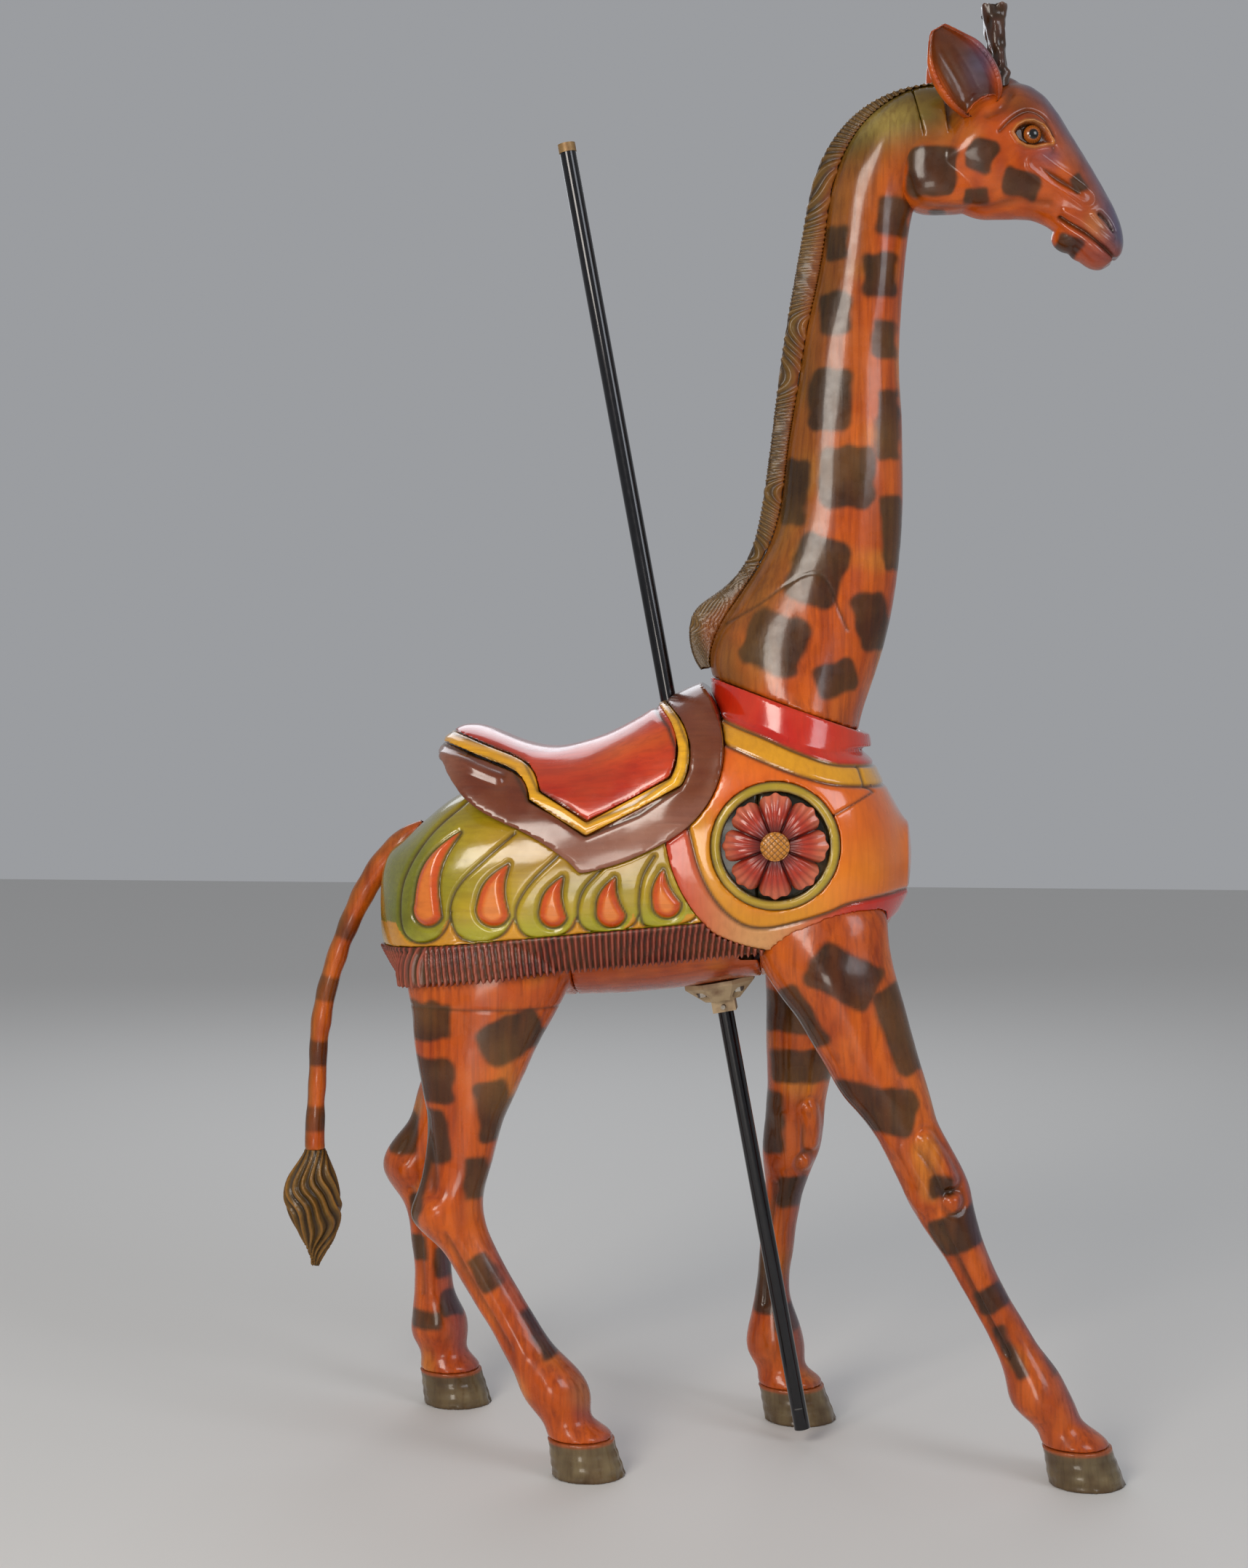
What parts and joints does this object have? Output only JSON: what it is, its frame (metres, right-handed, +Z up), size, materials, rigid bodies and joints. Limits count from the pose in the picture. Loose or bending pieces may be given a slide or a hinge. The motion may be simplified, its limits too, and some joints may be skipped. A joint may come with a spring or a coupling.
{
  "type": "carousel giraffe figure",
  "caption": "Carved and painted wooden carousel giraffe with saddle, fringed blanket and flower breast collar, standing on its hooves with a leaning steel pole through its back.",
  "frame": {"origin": "on the floor, under the middle of the figure's bounding box", "axes": "+X towards the giraffe's front, +Z up, -Y the giraffe's right side"},
  "size_m": [1.1494, 0.41, 1.9435],
  "materials": {
    "bare_steel": "plain",
    "bare_wood": "bare glued wood",
    "blanket_green": "glossy olive-green paint fading to yellow",
    "border_yellow": "glossy yellow paint",
    "boss_gold": "gold paint",
    "cap_brass": "worn",
    "collar_orange": "glossy orange paint with red and yellow bands",
    "eye_glass": "amber glass with a dark pupil",
    "flower_red": "glossy red paint",
    "fringe_red": "satin reddish brown paint",
    "hoof_grey": "worn glossy paint on wood",
    "horn_brown": "dark glossy varnish on knobbly carved wood",
    "mane_olive": "satin varnish on grooved wood",
    "plate_cream": "worn cream paint over rust",
    "pole_black": "glossy black",
    "saddle_red": "glossy red-orange paint",
    "skirt_mauve": "glossy mauve-brown paint",
    "varnished_hide": "glossy amber varnish over carved and painted wood"
  },
  "bodies": {
    "figure": {"back_board": "bare_wood", "belly_board": "varnished_hide", "belly_plate": "plate_cream", "blanket_left": "blanket_green", "blanket_right": "blanket_green", "breast_collar_left": "collar_orange", "breast_collar_right": "collar_orange", "cannon_dowels": "bare_wood", "cannon_left_front": "varnished_hide", "cannon_left_hind": "varnished_hide", "cannon_right_front": "varnished_hide", "cannon_right_hind": "varnished_hide", "chest_block": "varnished_hide", "ear_left": "varnished_hide", "ear_right": "varnished_hide", "fringe_left": "fringe_red", "fringe_right": "fringe_red", "glass_eye_left": "eye_glass", "glass_eye_right": "eye_glass", "head": "varnished_hide", "head_dowels": "bare_wood", "hip_dowels": "bare_wood", "hoof_dowels": "bare_wood", "hoof_left_front": "hoof_grey", "hoof_left_hind": "hoof_grey", "hoof_right_front": "hoof_grey", "hoof_right_hind": "hoof_grey", "horn_left": "horn_brown", "horn_right": "horn_brown", "mane": "mane_olive", "medallion_boss_left": "boss_gold", "medallion_boss_right": "boss_gold", "medallion_flower_left": "flower_red", "medallion_flower_right": "flower_red", "medallion_ring_left": "border_yellow", "medallion_ring_right": "border_yellow", "neck_dowels": "bare_wood", "neck_lower": "varnished_hide", "neck_middle": "varnished_hide", "neck_upper": "varnished_hide", "plate_hub": "plate_cream", "plate_lag_screws": "bare_steel", "plate_set_screw": "bare_steel", "pole_block": "bare_wood", "pole_sleeve": "bare_steel", "rump_block": "varnished_hide", "saddle_border": "border_yellow", "saddle_seat": "saddle_red", "saddle_skirt": "skirt_mauve", "side_board_left": "bare_wood", "side_board_right": "bare_wood", "tail": "varnished_hide", "tail_tuft": "mane_olive", "upper_leg_left_front": "varnished_hide", "upper_leg_left_hind": "varnished_hide", "upper_leg_right_front": "varnished_hide", "upper_leg_right_hind": "varnished_hide"},
    "pole": {"pole": "pole_black", "pole_cap": "cap_brass"}
  },
  "joints": [
    {"name": "pole_slide", "type": "slide", "parent": "figure", "child": "pole", "axis": [-0.1822, 0, 0.9833], "range_m": [0, 1.04]}
  ]
}
